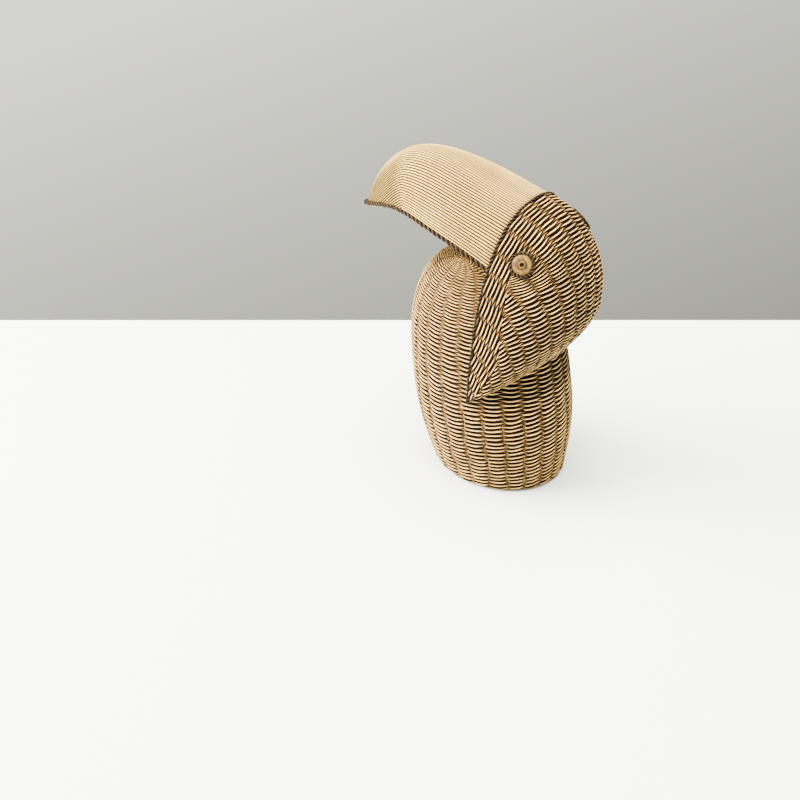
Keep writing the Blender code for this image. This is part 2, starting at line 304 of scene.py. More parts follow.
def startMaterial(name):
    material = bpy.data.materials.new(name)
    material.use_nodes = True
    return material, material.node_tree, material.node_tree.nodes["Principled BSDF"]


def addRamp(tree, stops):
    ramp = tree.nodes.new("ShaderNodeValToRGB")
    while len(ramp.color_ramp.elements) < len(stops):
        ramp.color_ramp.elements.new(0.5)
    for element, (position, colour) in zip(ramp.color_ramp.elements, stops):
        element.position = position
        element.color = (*colour, 1.0)
    return ramp


def addMath(tree, operation, *values, clamp=False):
    node = tree.nodes.new("ShaderNodeMath")
    node.operation = operation
    node.use_clamp = clamp
    for socket, value in zip(node.inputs, values):
        if isinstance(value, (int, float)):
            socket.default_value = value
        else:
            tree.links.new(value, socket)
    return node.outputs[0]


def addRead(tree, name):
    node = tree.nodes.new("ShaderNodeAttribute")
    node.attribute_name = name
    return node.outputs["Fac"]


def addMap(tree, name):
    node = tree.nodes.new("ShaderNodeUVMap")
    node.uv_map = name
    return node.outputs["UV"]


def addNoise(tree, vector, scale, detail):
    node = tree.nodes.new("ShaderNodeTexNoise")
    node.inputs["Scale"].default_value = scale
    node.inputs["Detail"].default_value = detail
    tree.links.new(vector, node.inputs["Vector"])
    return node.outputs["Fac"]


def addRange(tree, value, low, high, lowTo, highTo):
    node = tree.nodes.new("ShaderNodeMapRange")
    for name, number in zip(("From Min", "From Max", "To Min", "To Max"), (low, high, lowTo, highTo)):
        node.inputs[name].default_value = number
    tree.links.new(value, node.inputs["Value"])
    return node.outputs["Result"]


def addVary(tree, value, low, high, spread):
    return addRange(tree, value, low, high, 1 - spread, 1 + spread)


def addStrands(tree, across, along, look):
    # The same strands as in the shape: how clean of wash each place is
    raised = addMath(tree, "COSINE", addMath(tree, "MULTIPLY", across, math.pi))
    raised = addMath(tree, "MULTIPLY_ADD", raised, look["crossing"], 0.5, clamp=True)
    parts = []
    for family, lift in ((0.0, raised), (0.5, addMath(tree, "SUBTRACT", 1.0, raised))):
        off = addMath(tree, "PINGPONG", addMath(tree, "ADD", along, family), 0.5)
        width = addMath(tree, "MULTIPLY_ADD", lift, look["swell"] * look["strandWidth"],
                        look["endWidth"] * look["strandWidth"])
        off = addMath(tree, "DIVIDE", off, width)
        crown = addMath(tree, "SUBTRACT", 1.0, addMath(tree, "MULTIPLY", off, off), clamp=True)
        crown = addMath(tree, "POWER", crown, look["edge"])
        lift = addMath(tree, "POWER", lift, look["rise"])
        parts.append(addMath(tree, "MULTIPLY", crown, addRange(tree, lift, 0.0, 1.0, look["deep"], 1.0)))
    # The hollows show the stakes as small rungs
    rung = addMath(tree, "COSINE", addMath(tree, "MULTIPLY", across, math.tau * look["rungs"]))
    rung = addMath(tree, "MULTIPLY_ADD", rung, look["rungRise"], look["rungShade"])
    return addMath(tree, "MAXIMUM", addMath(tree, "MAXIMUM", *parts), rung)


def addReeds(tree, along, look):
    # Reeds laid side by side, rounded across
    off = addMath(tree, "DIVIDE", addMath(tree, "PINGPONG", along, 0.5), look["strandWidth"])
    crown = addMath(tree, "SUBTRACT", 1.0, addMath(tree, "MULTIPLY", off, off), clamp=True)
    return addMath(tree, "POWER", crown, look["edge"])


def caneMaterial(name, look):
    # Painted resin: dark wash in the hollows, pale dry-brushed tops, streaks along the strands
    material, tree, shader = startMaterial(name)
    link = tree.links.new
    strandMap = addMap(tree, "strandMap")
    if look["kind"] == "twoWay":
        # Behind the chevron line the strands follow their second map
        choose = tree.nodes.new("ShaderNodeMix")
        choose.data_type = "VECTOR"
        link(addMath(tree, "GREATER_THAN", addRead(tree, "past"), 0.0), choose.inputs["Factor"])
        link(strandMap, choose.inputs["A"])
        link(addMap(tree, "rearMap"), choose.inputs["B"])
        strandMap = choose.outputs["Result"]
    split = tree.nodes.new("ShaderNodeSeparateXYZ")
    link(strandMap, split.inputs[0])
    across, along = split.outputs["X"], split.outputs["Y"]
    worn = addRead(tree, "worn")
    place = tree.nodes.new("ShaderNodeTexCoord").outputs["Object"]
    patch = addNoise(tree, place, look["patchScale"], 5.0)
    stretch = tree.nodes.new("ShaderNodeMapping")
    stretch.inputs["Scale"].default_value = look["streakScale"]
    link(strandMap, stretch.inputs["Vector"])
    streak = addNoise(tree, stretch.outputs["Vector"], 1.0, 4.0)

    if look["kind"] == "plain":
        clean = addRead(tree, "clean")
    elif look["kind"] == "reeds":
        clean = addReeds(tree, along, look)
    else:
        clean = addStrands(tree, across, along, look)
    # Where the relief is worn away the colour goes to one even shade
    plain = addMath(tree, "MULTIPLY", addMath(tree, "SUBTRACT", 1.0, worn), look["plainShade"])
    clean = addMath(tree, "MULTIPLY_ADD", clean, worn, plain)
    creep = addMath(tree, "MULTIPLY", addMath(tree, "SUBTRACT", patch, 0.5), look["creep"])
    creep = addMath(tree, "MULTIPLY", creep, addMath(tree, "MULTIPLY_ADD", worn, 0.7, 0.3))
    ramp = addRamp(tree, look["stops"])
    link(addMath(tree, "ADD", clean, creep), ramp.inputs["Fac"])

    # Each strand is a little lighter or darker than its neighbours, and streaked; the last factor darkens
    # the colour by the painted shade and wash stored on the mesh
    number = tree.nodes.new("ShaderNodeCombineXYZ")
    link(addMath(tree, "WRAP", addMath(tree, "ROUND", across), 12.0, -12.0), number.inputs["X"])
    link(addMath(tree, "ROUND", addMath(tree, "MULTIPLY", along, look["perPitch"])), number.inputs["Y"])
    tone = tree.nodes.new("ShaderNodeTexWhiteNoise")
    tone.noise_dimensions = "2D"
    link(number.outputs[0], tone.inputs["Vector"])
    clouds = addNoise(tree, place, look["cloudScale"], 3.0)
    shades = [addVary(tree, tone.outputs["Value"], 0.0, 1.0, look["toneSpread"]),
              addVary(tree, streak, 0.3, 0.7, look["streakSpread"]),
              addVary(tree, clouds, 0.3, 0.7, look["cloudSpread"]),
              addRange(tree, addRead(tree, "washAndShade"), 0.0, 1.0, 1.0, look["washAndShadeFloor"])]
    shade = shades[0]
    for other in shades[1:]:
        shade = addMath(tree, "MULTIPLY", shade, other)
    paint = tree.nodes.new("ShaderNodeVectorMath")
    paint.operation = "SCALE"
    link(ramp.outputs["Color"], paint.inputs[0])
    link(shade, paint.inputs["Scale"])
    link(paint.outputs["Vector"], shader.inputs["Base Color"])
    link(addRange(tree, clean, 0.0, 1.0, look["roughLow"], look["roughHigh"]), shader.inputs["Roughness"])
    bump = tree.nodes.new("ShaderNodeBump")
    bump.inputs["Strength"].default_value = look["bump"]
    bump.inputs["Distance"].default_value = look["bumpDepth"]
    link(addMath(tree, "MULTIPLY_ADD", streak, look["streakBump"], clean), bump.inputs["Height"])
    link(bump.outputs["Normal"], shader.inputs["Normal"])
    shader.inputs["Specular IOR Level"].default_value = look["sheen"]
    return material


# The weave's paint, which every cane and rope finish starts from; its stops run from wash to worn tops
caneLook = {
    "kind": "woven", "crossing": 0.72, "strandWidth": 0.275, "endWidth": 0.35, "swell": 0.80,
    "edge": 1.45, "deep": 0.10, "rise": 0.44, "perPitch": 2.0, "rungs": 9.0, "rungRise": 0.06,
    "rungShade": 0.12, "plainShade": 0.66, "streakScale": (3.0, 9.0, 1.0), "patchScale": 300.0,
    "creep": 0.24, "toneSpread": 0.20, "streakSpread": 0.16, "cloudScale": 45.0, "cloudSpread": 0.12,
    "washAndShadeFloor": 0.06, "roughLow": 0.85, "roughHigh": 0.55, "bump": 0.5, "bumpDepth": 0.0004,
    "streakBump": 0.35, "sheen": 0.04,
    "stops": [(0.0, (0.0030, 0.0012, 0.0003)), (0.25, (0.0120, 0.0055, 0.0017)),
              (0.50, (0.052, 0.0275, 0.0098)), (0.75, (0.235, 0.138, 0.050)),
              (1.0, (0.86, 0.56, 0.185))],
}

# Body: courses of cane round upright stakes, which close in a whorl in front of the dome's top.
# The shades and reaches are those of painted shade: below the head's lower edge, beside its front edges
# and behind the whorl, under the beak.
bodyLook = {
    "stakes": 24, "perStake": 8, "perCourse": 8, "pitch": 0.00287, "topPitch": 0.00170, "topEnd": 0.030,
    "topFade": 0.050, "over": -0.00042, "under": -0.00115, "thick": 0.00090, "floor": -0.00105,
    "strandWidth": 0.28, "wander": 0.10, "uneven": 0.07, "sag": 0.20, "slant": 0.5, "slantTop": 0.068,
    "slantFade": 0.014, "footFade": 0.0025, "whorl": (0.012, -0.0246, 0.1374), "ringsFrom": 0.003,
    "ringsFade": 0.020, "knob": 0.0014, "sink": 0.0002, "topWorn": 0.62, "wornFrom": 0.010,
    "wornFade": 0.050, "belowShade": 0.45, "belowReach": 0.0008, "besideShade": 0.5,
    "besideReach": 0.0010, "capShade": 0.62, "capAway": (-0.81, -0.59, 0.0), "capFade": 0.007,
    "capLevel": 0.124, "capRise": 0.009, "washAndShadeMost": 0.95, "paint": {**caneLook, "plainShade": 0.76},
}


def aboutCheek(points):
    # Angle and distance about the line through both cheek tips, and how far behind it
    ahead = points[..., 1] - cheekBack
    rise = points[..., 2] - cheekUp
    return np.arctan2(rise, ahead), np.hypot(ahead, rise), ahead


def makeBody():
    look = bodyLook
    fine = np.sin(np.linspace(0, math.pi / 2, 4001)) * bodyForm["height"]
    turnIn = bodyForm["footRound"]
    # The foot's edge is turned in by its rounding
    edge = turnIn * (1 - np.sqrt(np.clip(1 - (1 - np.clip(fine / turnIn, 0, 1)) ** 2, 0, 1)))
    radius = bodyRadius(fine) - edge
    lengths = np.concatenate([[0.0], np.cumsum(np.hypot(np.diff(fine), np.diff(radius)))])
    rows = round(lengths[-1] / look["pitch"] * look["perCourse"])
    wanted = np.linspace(0, lengths[-1], rows + 1)
    level = np.interp(wanted, lengths, fine)[:, None]
    ring = np.interp(wanted, lengths, radius)[:, None]
    columns = look["stakes"] * look["perStake"]
    turn = (np.linspace(0, math.tau, columns + 1) + math.pi / 2)[None, :]
    centre = -bodyForm["lean"] * level / bodyForm["height"]
    flat = bodyForm["depth"] / bodyForm["width"]
    across, along = ring * np.cos(turn), centre + ring * flat * np.sin(turn)
    points = np.stack([across, along, level + 0 * turn], axis=-1)
    normal = outward(points, True)
    # Near the dome's top the courses are rings round the whorl, lower down they are level
    whorl = np.array(look["whorl"])
    whorl = points.reshape(-1, 3)[np.argmin(np.linalg.norm(points - whorl, axis=2))]
    apart = np.linalg.norm(points - whorl, axis=2)
    down = (lengths[-1] - wanted)[:, None]
    settled = smoothStep((down - look["ringsFrom"]) / look["ringsFade"])
    reached = lengths[-1] - apart * (1 - settled) - down * settled
    # The strands are finer on the dome
    coarser = smoothStep((lengths[-1] - lengths - look["topEnd"]) / look["topFade"])
    local = look["topPitch"] + (look["pitch"] - look["topPitch"]) * coarser
    counted = np.concatenate([[0.0], np.cumsum(np.diff(lengths) * 2 / (local[1:] + local[:-1]))])
    courses = np.interp(reached, lengths, counted)
    finer = np.interp(reached, lengths, local) / look["pitch"]
    fromX = whorl[0] * (1 - settled)
    fromY = whorl[1] * (1 - settled) + centre * settled
    spoke = np.arctan2(points[..., 0] - fromX, -(points[..., 1] - fromY) / flat)
    slant = look["slant"] * smoothStep((look["slantTop"] - level) / look["slantFade"])
    courses, stakes = unsettle(courses, -spoke / math.tau * look["stakes"], look, look["sag"], slant)
    height = weave(courses, stakes, look)
    fade = smoothStep(apart / look["knob"] - 0.3) * smoothStep(level / look["footFade"])
    height = height * fade * finer - look["sink"] * (1 - fade)
    points = points + normal * height[..., None]
    points[..., 2] = np.maximum(points[..., 2], 0.0)
    points[0, :, 2] = 0.0
    points[:, -1] = points[:, 0]
    settledWorn = smoothStep((down - look["wornFrom"]) / look["wornFade"])
    worn = fade * (look["topWorn"] + (1 - look["topWorn"]) * settledWorn)
    # Painted shade on the body below the head's lower edge and beside its front edges, where the head and
    # its rope shade it
    tilt, reach, ahead = aboutCheek(points)
    below = np.where(ahead > 0, hoodForm["creaseAngle"] - tilt, 1.0) * reach
    beside = np.where(tilt > 0.1, tilt - browAngle, 1.0) * reach - ropeGap
    washAndShade = look["belowShade"] * fadeOut(below, look["belowReach"])
    washAndShade = washAndShade + look["besideShade"] * fadeOut(beside, look["besideReach"])
    # More painted shade on the dome behind the whorl, on its side away from the camera, under the beak
    behind = (points - whorl) @ np.array(look["capAway"])
    cap = smoothStep((behind + 0.001) / look["capFade"])
    cap = cap * smoothStep((points[..., 2] - look["capLevel"]) / look["capRise"])
    washAndShade = np.clip(washAndShade + look["capShade"] * cap, 0, look["washAndShadeMost"])
    layers, maps = {"worn": worn, "washAndShade": washAndShade}, {"strandMap": (stakes, courses)}
    ends = [((0.0, 0.0, 0.0), lambda edge: edge.verts[0].co.z < 0.001)]
    piece = gridPiece("bodyWeave", points, layers, maps, ends, look["stakes"])
    finishWith(piece, caneMaterial("bodyCane", look["paint"]))


makeBody()

# Eyes: a smooth pale disc with a raised ring round a dark pupil, inside a ring of rope. The profile
# runs outwards: which size, the share of it, the share of the height, and how clean it is there.
eyeLook = {
    "turn": math.radians(74.9), "share": 0.3325, "radius": 0.0058, "proud": 0.0013, "ring": 0.0021,
    "pupil": 0.0011, "foot": -0.002, "steps": 48, "rope": 0.00110, "ropeLay": 0.0046, "ropeOut": 0.7,
    "ropeRise": 0.05,
    "profile": [("pupil", 0.0, 0.35, 0.0), ("pupil", 0.55, 0.38, 0.0), ("pupil", 0.95, 0.75, 0.25),
                ("pupil", 1.15, 1.28, 0.55), ("ring", 0.72, 1.40, 0.95), ("ring", 0.90, 1.38, 1.0),
                ("ring", 1.06, 1.12, 0.45), ("ring", 1.22, 0.96, 0.42), ("ring", 1.45, 1.0, 0.85),
                ("radius", 0.62, 1.04, 0.98), ("radius", 0.80, 0.98, 1.0), ("radius", 0.92, 0.82, 0.85),
                ("radius", 0.99, 0.55, 0.55), ("radius", 1.02, 0.1, 0.15)],
    "patchScale": 420.0, "creep": 0.65, "washShare": 0.62, "roughness": 0.45, "sheen": 0.15,
    "stops": [(0.10, (0.0025, 0.0011, 0.0004)), (0.38, (0.011, 0.0052, 0.0014)),
              (0.62, (0.036, 0.0185, 0.0042)), (0.88, (0.088, 0.049, 0.0100)),
              (1.0, (0.172, 0.102, 0.0230))],
}

# Head: strands along the brow in front, behind them strands that rise backwards and end on the
# chevron line below the eye, and above the eye a fan between the two. Places are as seen from the side.
hoodLook = {
    "outerRows": 140, "underRows": 70, "returnRows": 8, "columns": 432, "stakes": 22, "pitch": 0.00250,
    "over": -0.00045, "under": -0.00120, "thick": 0.00092, "floor": -0.00110, "strandWidth": 0.28,
    "wander": 0.08, "uneven": 0.08, "sag": -0.22, "stripSag": -0.10, "sink": 0.0003, "lowest": -0.0011,
    "highest": 0.00038, "stripLow": 0.100, "stripHigh": 0.130, "stripBase": math.radians(67),
    "stripTop": math.radians(77), "chevronSetback": 0.0265, "chevronRise": 0.047, "chevronTop": 0.155,
    "chevronBlend": 0.0010, "valleyWide": 0.0008, "valleyDeep": 0.0002, "valleyWorn": 0.25,
    "fanSetback": 0.0225, "fanLevel": 0.138, "fanTop": math.radians(77), "fanEnd": math.radians(31),
    "fanLimit": 2.5, "fanStrands": 12.0, "fanFrom": 0.010, "fanFade": 0.018, "farReach": 0.320,
    "lowerRate": 0.92, "underRate": 0.85, "bendRate": 0.55, "bendReach": 0.004, "rearRate": 0.05,
    "rearFrom": 0.036, "rearReach": 0.014, "rearTop": 0.150, "rearFade": 0.035, "creaseFrom": 0.0008,
    "creaseFade": 0.0045, "browFade": 0.0012, "cheekFade": 0.0016, "creaseShade": 0.5,
    "creaseReach": 0.0013, "underShade": 0.52, "browShade": 0.5, "browReach": 0.0007, "eyeShade": 0.6,
    "eyeReach": 0.0008, "tipShade": 0.80, "tipReach": 0.0030, "tipTop": 0.075, "washAndShadeMost": 0.95,
    "paint": {**caneLook, "kind": "twoWay", "edge": 2.1, "deep": 0.06, "plainShade": 0.56},
}


def stripCourses(back, level):
    # Strands in front, steeper above than in the cheeks
    look = hoodLook
    low, high = look["stripLow"], look["stripHigh"]
    upright, lying = 1 / math.tan(look["stripTop"]), 1 / math.tan(look["stripBase"])
    share = np.clip((level - low) / (high - low), 0, 1)
    lean = lying * np.minimum(level - cheekUp, low - cheekUp)
    lean = lean + (high - low) * (lying * share + (upright - lying) * share**2 / 2)
    lean = lean + upright * np.maximum(level - high, 0)
    return (back - cheekBack - lean) * math.sin(look["stripTop"]) / look["pitch"]


def chevronLine(level):
    # How far back the strands of the front reach
    look = hoodLook
    rise = np.clip((level - cheekUp) / look["chevronRise"], 0, 1)
    below = cheekBack + (look["chevronSetback"] - cheekBack) * np.sin(math.pi / 2 * rise)
    above = look["fanSetback"] + (level - look["fanLevel"]) / math.tan(look["fanTop"])
    return np.where(level < look["chevronTop"], below, above)


def rearCourses(back, level):
    # Strands behind the chevron, and the fan above the eye
    look = hoodLook
    span = look["fanTop"] - look["fanEnd"]
    first = stripCourses(np.array(look["fanSetback"]), np.array(look["fanLevel"]))
    far = (look["fanSetback"] - look["farReach"] * math.cos(look["fanEnd"]),
           look["fanLevel"] - look["farReach"] * math.sin(look["fanEnd"]))
    turned = look["fanEnd"] - np.arctan2(level - far[1], back - far[0])
    fromFar = np.hypot(back - far[0], level - far[1])
    lower = first + look["fanStrands"] + look["lowerRate"] * turned * fromFar / look["pitch"]
    beside, above = back - look["fanSetback"], level - look["fanLevel"]
    away, aim = np.hypot(beside, above), np.arctan2(above, beside)
    fan = first + look["fanStrands"] * (look["fanTop"] - aim) / span
    mixed = lower + (fan - lower) * smoothStep((away - look["fanFrom"]) / look["fanFade"])
    courses = np.where((aim > look["fanEnd"]) & (aim < look["fanLimit"]), mixed, lower)
    # They bend down where they meet the chevron, and again round the back of the head
    past = np.maximum(back - chevronLine(level), 0)
    rate = look["bendRate"] * smoothStep((look["chevronTop"] + 0.012 - level) / 0.02)
    bend = rate * look["bendReach"] * np.exp(-past / look["bendReach"]) / look["pitch"]
    beyond = np.maximum(back - look["rearFrom"], 0)
    reach = look["rearReach"]
    rear = np.where(beyond < reach, beyond**2 / (2 * reach), beyond - reach / 2)
    rear = look["rearRate"] * rear / look["pitch"]
    return courses - bend + rear * smoothStep((look["rearTop"] - level) / look["rearFade"])


def recessPoints(share):
    # The brow's arch drawn inwards and, below the beak, leaned back
    brow = archPoints(browAngle, share)
    centreReach = np.linalg.norm(browTop - np.array([0.0, cheekBack, cheekUp])) * hoodForm["recessCentre"]
    reach = np.hypot(brow[:, 1] - cheekBack, brow[:, 2] - cheekUp)
    across, up = brow[:, 0], reach - centreReach
    size = np.hypot(across, up)
    shrink = 1 - hoodForm["recessInset"] / np.maximum(size, hoodForm["recessInset"] * 2)
    across, reach = across * shrink, np.maximum(up * shrink + centreReach, hoodForm["recessInset"])
    lower = smoothStep((beakForm["gapeReach"] - reach) / hoodForm["recessBlend"])
    angle = browAngle - hoodForm["recessAngle"] * lower
    return leanBack(angle, across, reach)


def makeHood():
    look = hoodLook
    columns = look["columns"]
    dense = np.linspace(0, 1, 1201)
    share = np.linspace(0, 1, columns + 1)
    lines = [evenAlong(archPoints(angle, dense), columns + 1)[0]
             for angle in np.linspace(browAngle, hoodForm["napeAngle"], look["outerRows"] + 1)]
    for step in range(1, look["underRows"] + 1):
        turn = math.pi / 2 * step / look["underRows"]
        lines.append(evenAlong(underPoints(turn, dense), columns + 1)[0])
    points = np.array(lines)
    normal = -outward(points, False)
    apart = np.linalg.norm(np.diff(points, axis=0), axis=2)
    behind = np.concatenate([np.zeros((1, columns + 1)), np.cumsum(apart, axis=0)])
    along = np.concatenate([np.zeros((len(points), 1)),
                            np.cumsum(np.linalg.norm(np.diff(points, axis=1), axis=2), axis=1)], axis=1)
    along = np.minimum(along, along[:, -1:] - along)
    back, level = points[..., 1], points[..., 2]
    stakes = share[None, :] * look["stakes"] + 0.5 + 0 * level
    strip = stripCourses(back, level)
    rear = rearCourses(back, level)
    # Under the nape the spacing is kept along the surface
    nape = look["outerRows"]
    rear[nape + 1:] = rear[nape] + (behind[nape + 1:] - behind[nape]) * look["underRate"] / look["pitch"]
    strip, _ = unsettle(strip, stakes, look, look["stripSag"])
    rear, stakes = unsettle(rear, stakes, look, look["sag"])
    past = back - chevronLine(level)
    past[nape + 1:] = np.maximum(past[nape + 1:], past[nape])
    chevron = smoothStep(past / look["chevronBlend"] + 0.5)
    height = weave(strip, stakes, look) * (1 - chevron) + weave(rear, stakes, look) * chevron
    valley = np.exp(-((past / look["valleyWide"]) ** 2))
    valley = valley * smoothStep((look["chevronTop"] + 0.004 - level) / 0.008)
    height = height - look["valleyDeep"] * valley
    toCrease = behind[-1:] - behind
    edge = smoothStep((toCrease - look["creaseFrom"]) / look["creaseFade"])
    edge = edge * smoothStep(behind / look["browFade"]) * smoothStep(along / look["cheekFade"])
    height = np.clip(height * edge - look["sink"] * (1 - edge), look["lowest"], look["highest"])
    points = points + normal * height[..., None]
    worn = edge * (1 - look["valleyWorn"] * valley)
    # The return in front, between the cheeks' edges and the body
    inner, _ = evenAlong(recessPoints(dense), columns + 1)
    count = look["returnRows"]
    extra = [points[0] * (1 - step / count) + inner * step / count for step in range(count, 0, -1)]
    points = np.concatenate([np.array(extra), points])

    def widen(values, plain):
        return np.concatenate([np.full((count, columns + 1), plain), values])

    # Painted shade under the nape, at the crease and at the cheeks' tips; along the brow's rope and round
    # the eyes the darkening is wash and painted shade together
    underShare = toCrease / np.maximum(behind[-1:] - behind[nape], 0.001)
    washAndShade = look["creaseShade"] * np.exp(-((toCrease / look["creaseReach"]) ** 2))
    washAndShade = washAndShade + look["underShade"] * smoothStep((1.5 - underShare) / 1.2)
    washAndShade = washAndShade + look["browShade"] * fadeOut(behind - ropeGap, look["browReach"])
    for spot in (eyeLook["share"], 1 - eyeLook["share"]):
        eye = archPoints(eyeLook["turn"], np.array([spot]))[0]
        off = np.linalg.norm(points[count:] - eye, axis=2) - eyeLook["radius"] - 2 * eyeLook["rope"]
        washAndShade = washAndShade + look["eyeShade"] * fadeOut(off, look["eyeReach"])
    washAndShade = washAndShade + look["tipShade"] * fadeOut(along, look["tipReach"]) * (level < look["tipTop"])
    washAndShade = np.clip(washAndShade, 0, look["washAndShadeMost"])
    # The return in front is darkened a little as painted shade in the recess
    layers = {"worn": widen(worn, 0.0), "past": widen(past * 1000, -5.0), "washAndShade": widen(washAndShade, 0.3)}
    stakes = widen(stakes, 0.0)
    maps = {"strandMap": (stakes, widen(strip, 0.0)), "rearMap": (stakes, widen(rear, 0.0))}
    ends = [((0.0, cheekBack, cheekUp), lambda edge: True)]
    piece = gridPiece("hoodWeave", points, layers, maps, ends)
    finishWith(piece, caneMaterial("hoodCane", look["paint"]))


makeHood()

# Beak: an arch of fine reeds laid lengthwise, which bend down to the rim near the tip
beakLook = {
    "rootRows": 48, "tipRows": 130, "columns": 448, "floorColumns": 10, "endShare": 0.978,
    "length": 0.115, "rootWidth": 0.955, "rootDepth": 0.0035, "rootDrop": 0.0022, "tipDrop": 0.0030,
    "tipFrom": 0.77, "reeds": 28.0, "depth": 0.00060, "runOut": 0.58, "runOutPower": 0.92,
    "wander": 0.10, "crease": 0.60, "creaseSoft": 0.05, "rimWorn": 0.35, "tipFade": 0.8,
    "rootShade": 0.5, "rootReach": 0.0006, "rimShade": 0.4, "rimReach": 0.012, "frontShade": 0.54,
    "washAndShadeMost": 0.9,
    "paint": {**caneLook, "kind": "reeds", "strandWidth": 0.46, "edge": 1.2, "perPitch": 1.0,
              "plainShade": 0.80, "streakScale": (2.0, 3.0, 1.0), "patchScale": 130.0, "creep": 0.08,
              "toneSpread": 0.10, "streakSpread": 0.14,
              "stops": [(0.0, (0.012, 0.0062, 0.0022)), (0.30, (0.032, 0.0175, 0.0062)),
                        (0.55, (0.118, 0.068, 0.0205)), (0.80, (0.265, 0.163, 0.046)),
                        (1.0, (0.77, 0.51, 0.136))]},
}


def makeBeak():
    look = beakLook
    columns, floor = look["columns"], look["floorColumns"]
    split = look["crease"] - 0.08
    stations = np.concatenate([np.linspace(0, split, look["rootRows"], endpoint=False),
                               np.linspace(split, look["endShare"], look["tipRows"])])
    dense = np.linspace(0, 1, 1001)
    lines, floors = [], []
    for share in stations:
        arch, _ = evenAlong(beakArch(share, dense), columns + 1)
        lines.append(arch)
        rim = rimPoint(share)
        across = np.linspace(-1, 1, floor + 2)[1:-1]
        inwards = 1 - np.abs(across)
        sag = beakForm["floorDrop"] * math.sin(math.pi * share) * np.clip(inwards / 0.6, 0, 1)
        # Near the tip the closed underside hangs below the rope
        near = smoothStep((share - look["tipFrom"]) / 0.05) * smoothStep((0.99 - share) / 0.03)
        sag = sag + look["tipDrop"] * float(near) * np.clip(inwards / 0.2, 0, 1)
        floors.append(np.stack([rim[0] * across, rim[1] + 0 * across, rim[2] - sag], axis=-1))
    arch, floors = np.array(lines), np.array(floors)
    normal = outward(arch, False)
    signed = 1 - 2 * np.linspace(0, 1, columns + 1)[None, :]
    across = np.abs(signed)
    late = np.maximum(stations - look["crease"], 0) / (1 - look["crease"])
    soft = look["creaseSoft"]
    late = np.sqrt(late**2 + soft**2) - soft
    late = (late / (math.hypot(1, soft) - soft))[:, None]
    # Past the crease the lower reeds run out on the rim, the others run on to the tip
    spread = 1 - look["runOut"] * np.maximum(late, 1e-6) ** look["runOutPower"]
    wander = look["wander"] * softNoise(9 * signed + 0 * late, 6 * stations[:, None], 4)
    laid = signed * look["reeds"] * spread + wander
    worn = smoothStep((across + 0.02 + 0.05 * late) / 0.22)
    worn = look["rimWorn"] + (1 - look["rimWorn"]) * worn
    worn = worn * (1 - look["tipFade"] * smoothStep((late - 0.50) / 0.40))
    edge = smoothStep(stations[:, None] / 0.02) * smoothStep((1 - across) / 0.01)
    edge = edge * smoothStep((0.99 - late) / 0.06)
    height = look["depth"] * ((0.5 + 0.5 * np.cos(math.tau * laid)) ** 0.7 - 0.75) * worn * edge
    arch = arch + normal * height[..., None]
    # The root goes a little into the head, under the brow rope
    narrow = np.array([look["rootWidth"], 1.0, 1.0])
    push = np.array([0.0, look["rootDepth"], -look["rootDrop"]])
    arch = np.concatenate([arch[:1] * narrow + push, arch])
    under = np.concatenate([floors[:1] * narrow + push, floors])
    points = np.concatenate([arch, under, arch[:, :1]], axis=1)
    rows = points.shape[0]

    def widen(values, plain):
        values = np.concatenate([values[:1], values])
        return np.concatenate([values, np.full((rows, floor), plain), values[:, :1]], axis=1)

    length = widen(stations[:, None] * 12 + 0 * across, 0.0)
    # Painted shade at the root under the brow rope and along the rim next to its rope
    fromRoot = stations[:, None] * look["length"] - ropeGap
    washAndShade = look["rootShade"] * fadeOut(fromRoot, look["rootReach"])
    washAndShade = washAndShade + look["rimShade"] * fadeOut(1 - across, look["rimReach"]) * (1 - late)
    # In front of the crease the beak keeps more of the wash
    front = smoothStep((stations[:, None] - look["crease"] + 0.02) / 0.12)
    front = front * smoothStep((across - 0.05) / 0.35)
    washAndShade = np.clip(washAndShade + look["frontShade"] * front, 0, look["washAndShadeMost"])
    # The closed underside is darkened as painted shade under the beak
    layers = {"worn": widen(worn + 0 * across, 0.0), "washAndShade": widen(washAndShade, 0.35)}
    # The open ends are closed to a point inside the head and one inside the tip
    tip = rimPoint(look["endShare"]) * 0.7 + ridgePoint(look["endShare"]) * 0.3
    ends = [((0.0, 0.018, 0.165), lambda edge: edge.verts[0].co.y > -0.05),
            ((0.0, tip[1], tip[2]), lambda edge: True)]
    piece = gridPiece("beakReeds", points, layers, {"strandMap": (length, widen(laid, 0.0))}, ends)
    finishWith(piece, caneMaterial("beakCane", look["paint"]))


makeBeak()

# Rope trims: two strands twisted together, dark grey brown
ropeLook = {
    "radius": 0.00150, "lay": 0.0076, "browRadius": 0.00118, "browLay": 0.0058, "uneven": 0.09,
    "wobble": 0.00013, "waves": 380, "step": 0.00034, "sides": 12, "lobe": 0.44, "strand": 0.56,
    "paint": {**caneLook, "kind": "plain", "creep": 0.35, "toneSpread": 0.0, "streakSpread": 0.2,
              "plainShade": 0.5,
              "stops": [(0.0, (0.0055, 0.0030, 0.0014)), (0.35, (0.0095, 0.0055, 0.0028)),
                        (0.65, (0.0165, 0.0100, 0.0054)), (0.88, (0.0260, 0.0164, 0.0090)),
                        (1.0, (0.038, 0.0245, 0.0138))]},
}


def finishRope(name, points, clean, strandMap, ends):
    layers = {"clean": clean, "worn": 1 + 0 * clean, "washAndShade": 0 * clean}
    finishWith(gridPiece(name, points, layers, {"strandMap": strandMap}, ends), ropeMaterial)


